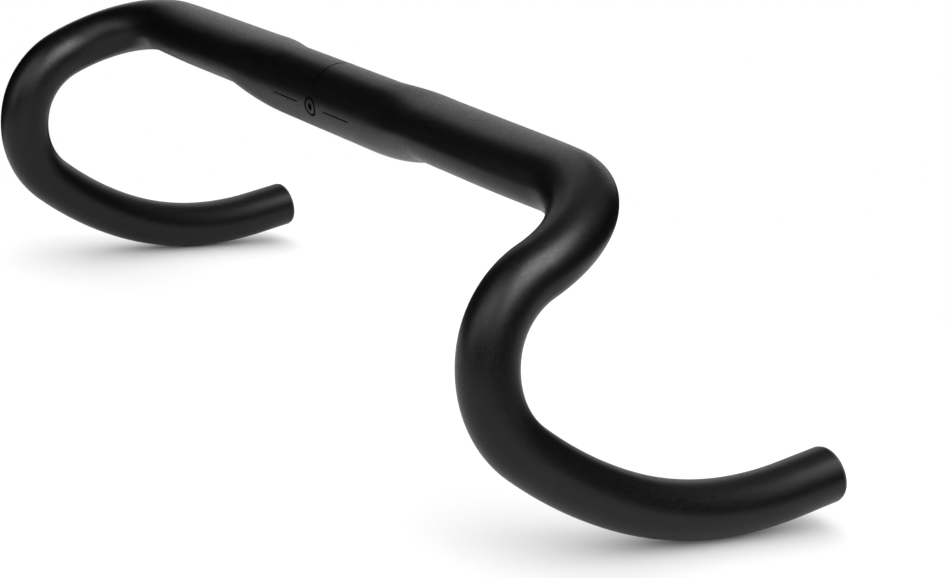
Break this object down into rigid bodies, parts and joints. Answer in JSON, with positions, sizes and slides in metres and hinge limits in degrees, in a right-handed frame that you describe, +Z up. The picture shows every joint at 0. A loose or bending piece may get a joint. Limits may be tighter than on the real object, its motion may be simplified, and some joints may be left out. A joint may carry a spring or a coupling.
{
  "type": "drop handlebar",
  "caption": "One-piece alloy drop bar with a round stem clamp zone, flattened tops, short deep hooks and flared drops, with an expanding plug in each end.",
  "frame": {"origin": "centre of the stem clamp zone, on the clamp axis and in the bar's plane of symmetry", "axes": "+X along the clamp axis to the rider's left, +Y to the rear, +Z up, with the bar standing nose-down on the undersides of its drops; turned 27 degrees about X from the riding position, in which the flattened tops are level"},
  "size_m": [0.4608, 0.1821, 0.1453],
  "materials": {
    "bar_finish": "bead-blasted satin black anodising with a fine grain",
    "printed_marks": "thin gloss black print",
    "plug_plastic": "moulded black nylon",
    "band_rubber": "black rubber cord",
    "steel": "black-oxide and zinc-plated steel"
  },
  "bodies": {
    "bar": {"bar_tube": "bar_finish", "centre_line_mark": "printed_marks", "left_level_mark": "printed_marks", "right_level_mark": "printed_marks", "centre_emblem": "printed_marks"},
    "left_plug": {"left_plug_cap": "plug_plastic", "left_plug_band": "band_rubber", "left_plug_segment_1": "plug_plastic", "left_plug_segment_2": "plug_plastic", "left_plug_segment_3": "plug_plastic"},
    "left_screw": {"left_plug_screw": "steel"},
    "left_wedge": {"left_plug_wedge": "plug_plastic", "left_plug_nut": "steel"},
    "right_plug": {"right_plug_cap": "plug_plastic", "right_plug_band": "band_rubber", "right_plug_segment_1": "plug_plastic", "right_plug_segment_2": "plug_plastic", "right_plug_segment_3": "plug_plastic"},
    "right_screw": {"right_plug_screw": "steel"},
    "right_wedge": {"right_plug_wedge": "plug_plastic", "right_plug_nut": "steel"}
  },
  "joints": [
    {"name": "left_plug_pull", "type": "slide", "parent": "bar", "child": "left_plug", "axis": [0.0445, 0.973, 0.2263], "range_m": [0, 0.025]},
    {"name": "left_wedge_slide", "type": "slide", "parent": "left_plug", "child": "left_wedge", "axis": [-0.0445, -0.973, -0.2263], "range_m": [0, 0.00175]},
    {"name": "left_screw_turn", "type": "hinge", "parent": "left_plug", "child": "left_screw", "pos_m": [0.21858, 0.10949, -0.10862], "axis": [0.0445, 0.973, 0.2263], "range_deg": [0, 900]},
    {"name": "right_plug_pull", "type": "slide", "parent": "bar", "child": "right_plug", "axis": [-0.0445, 0.973, 0.2263], "range_m": [0, 0.025]},
    {"name": "right_wedge_slide", "type": "slide", "parent": "right_plug", "child": "right_wedge", "axis": [0.0445, -0.973, -0.2263], "range_m": [0, 0.00175]},
    {"name": "right_screw_turn", "type": "hinge", "parent": "right_plug", "child": "right_screw", "pos_m": [-0.21858, 0.10949, -0.10862], "axis": [-0.0445, 0.973, 0.2263], "range_deg": [0, 900]}
  ],
  "couplings": [
    {"joint": "left_screw_turn", "follows": "left_wedge_slide", "rad_per_m": 8976},
    {"joint": "right_screw_turn", "follows": "right_wedge_slide", "rad_per_m": 8976}
  ]
}
